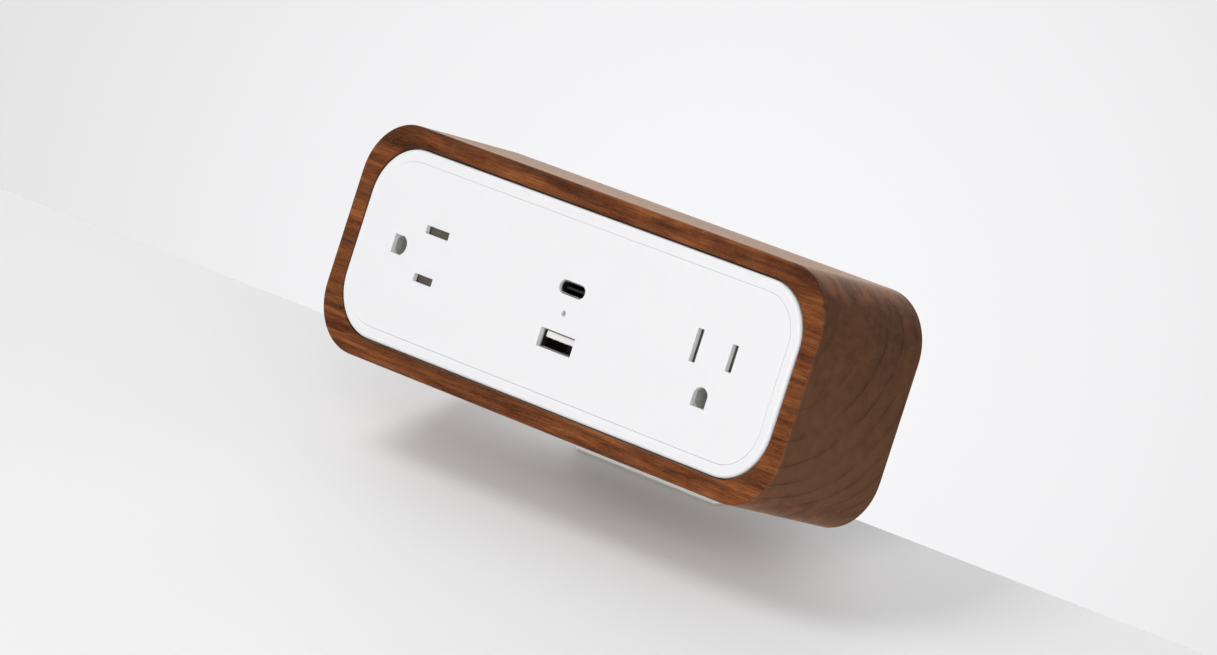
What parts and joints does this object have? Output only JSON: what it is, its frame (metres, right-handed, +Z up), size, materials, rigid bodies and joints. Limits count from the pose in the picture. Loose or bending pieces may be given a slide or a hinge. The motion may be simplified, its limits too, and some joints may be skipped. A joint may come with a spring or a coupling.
{
  "type": "desk power hub",
  "caption": "Wood-cased power hub tilted back on a desk clamp, with grounded outlets, USB ports, shuttered slots and a screw clamp that grips the desk's edge.",
  "frame": {"origin": "middle of the clamp jaw pad's underside, on the desk top", "axes": "+X along the hub to the right as seen from its front, +Y away from the user past the desk's back edge, +Z up"},
  "size_m": [0.171, 0.0651, 0.1727],
  "materials": {
    "walnut": "oiled open-grain walnut",
    "white_front": "satin moulded",
    "grey_plastic": "moulded",
    "white_plastic": "fine texture",
    "black_rubber": "matte",
    "outlet_plastic": "moulded",
    "contact_brass": "stamped",
    "shutter_grey": "moulded",
    "spring_steel": "drawn wire",
    "port_steel": "nickel-plated sheet",
    "black_plastic": "moulded",
    "tongue_white": "moulded",
    "clear_plastic": "clear light pipe",
    "led_resin": "diffuse resin",
    "circuit_board": "solder mask",
    "ferrite": "sintered",
    "winding_tape": "polyester tape",
    "capacitor_sleeve": "shrink sleeve",
    "aluminium": "extruded",
    "fuse_ceramic": "glazed tube",
    "black_wire": "insulation",
    "white_wire": "insulation",
    "green_wire": "insulation",
    "screw_steel": "zinc plated",
    "clamp_paint": "white powder coat",
    "pad_rubber": "translucent silicone",
    "bush_brass": "turned",
    "zinc_steel": "zinc plated thread",
    "knob_plastic": "fine texture"
  },
  "bodies": {
    "hub": {"walnut_case": "walnut", "front_bezel": "white_front", "front_panel": "white_front", "inner_chassis": "grey_plastic", "rear_cover": "white_plastic", "inlet_grommet": "black_rubber", "left_outlet_body": "outlet_plastic", "right_outlet_body": "outlet_plastic", "left_neutral_contact": "contact_brass", "left_hot_contact": "contact_brass", "left_ground_contact": "contact_brass", "right_neutral_contact": "contact_brass", "right_hot_contact": "contact_brass", "right_ground_contact": "contact_brass", "left_shutter_spring": "spring_steel", "right_shutter_spring": "spring_steel", "usb_c_shell": "port_steel", "usb_c_tongue": "black_plastic", "usb_a_shell": "port_steel", "usb_a_tongue": "tongue_white", "usb_a_contacts": "contact_brass", "light_pipe": "clear_plastic", "indicator_led": "led_resin", "port_board": "circuit_board", "charger_board": "circuit_board", "board_link_pins": "contact_brass", "transformer_core": "ferrite", "transformer_winding": "winding_tape", "filter_capacitors": "capacitor_sleeve", "heat_sink": "aluminium", "power_chips": "black_plastic", "fuse": "fuse_ceramic", "line_wires": "black_wire", "neutral_wires": "white_wire", "ground_wires": "green_wire", "board_screws": "screw_steel", "case_screws": "screw_steel", "bracket_inserts": "contact_brass", "bracket_screws": "screw_steel", "clamp_frame": "clamp_paint", "jaw_pad": "pad_rubber", "threaded_bush": "bush_brass"},
    "left_shutter": {"left_shutter": "shutter_grey"},
    "right_shutter": {"right_shutter": "shutter_grey"},
    "pad": {"pressure_pad": "white_plastic", "pressure_pad_face": "black_rubber"},
    "screw": {"clamp_screw": "zinc_steel", "clamp_knob": "knob_plastic"}
  },
  "joints": [
    {"name": "pad_slide", "type": "slide", "parent": "hub", "child": "pad", "axis": [0, 0, 1], "range_m": [-0.0154, 0.0095]},
    {"name": "screw_turn", "type": "hinge", "parent": "pad", "child": "screw", "pos_m": [0, -0.0025, -0.06], "axis": [0, 0, 1], "range_deg": [-4406.4, 2707.2]},
    {"name": "left_shutter_slide", "type": "slide", "parent": "hub", "child": "left_shutter", "axis": [0, -0.4226, -0.9063], "range_m": [0, 0.0035], "stiffness_N_per_m": 120, "springref_m": -0.003, "deforming": ["left_shutter_spring"]},
    {"name": "right_shutter_slide", "type": "slide", "parent": "hub", "child": "right_shutter", "axis": [1, 0, 0], "range_m": [0, 0.0035], "stiffness_N_per_m": 120, "springref_m": -0.003, "deforming": ["right_shutter_spring"]}
  ],
  "couplings": [
    {"joint": "pad_slide", "follows": "screw_turn", "m_per_rad": 0.00019894}
  ]
}
